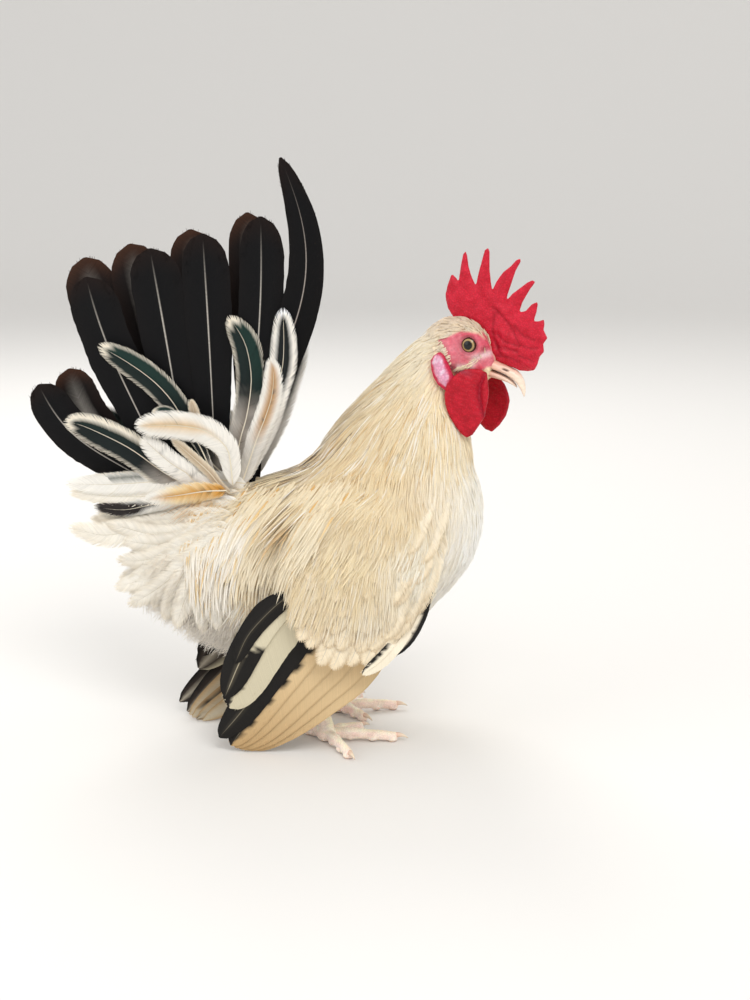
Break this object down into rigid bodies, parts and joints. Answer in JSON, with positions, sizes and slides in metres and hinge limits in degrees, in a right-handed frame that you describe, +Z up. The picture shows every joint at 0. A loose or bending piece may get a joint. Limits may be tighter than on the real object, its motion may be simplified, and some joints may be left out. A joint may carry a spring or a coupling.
{
  "type": "japanese bantam chicken",
  "caption": "Life-size standing Japanese bantam cock with upright fanned tail, drooped wings, single comb and wattles, feathers modelled as overlapping vanes",
  "frame": {"origin": "on the floor under the middle of the bird's box", "axes": "+X is the way the bird faces, +Y its left side, +Z up"},
  "size_m": [0.28, 0.12, 0.3072],
  "materials": {
    "buff_feather": "soft cream and buff feather",
    "tail_feather": "black feather with a faint green sheen",
    "face_skin": "bare pink skin",
    "comb_flesh": "pebbled crimson skin",
    "eye": "glossy dark brown",
    "horn": "pale horn, satin",
    "shank_skin": "scaled yellowish pink skin"
  },
  "bodies": {
    "root": {"torso": "buff_feather", "neck": "buff_feather", "thigh_right": "buff_feather", "thigh_left": "buff_feather", "wing_right": "buff_feather", "wing_left": "buff_feather", "tail": "tail_feather", "head": "face_skin", "comb": "comb_flesh", "wattle_right": "comb_flesh", "wattle_left": "comb_flesh", "earlobe_right": "comb_flesh", "earlobe_left": "comb_flesh", "eye_right": "eye", "eye_left": "eye", "beak_upper": "horn", "beak_lower": "horn", "shank_right": "shank_skin", "shank_left": "shank_skin", "claw_inner_right": "horn", "claw_middle_right": "horn", "claw_outer_right": "horn", "claw_hind_right": "horn", "claw_inner_left": "horn", "claw_middle_left": "horn", "claw_outer_left": "horn", "claw_hind_left": "horn", "spur_right": "horn", "spur_left": "horn"}
  },
  "joints": []
}
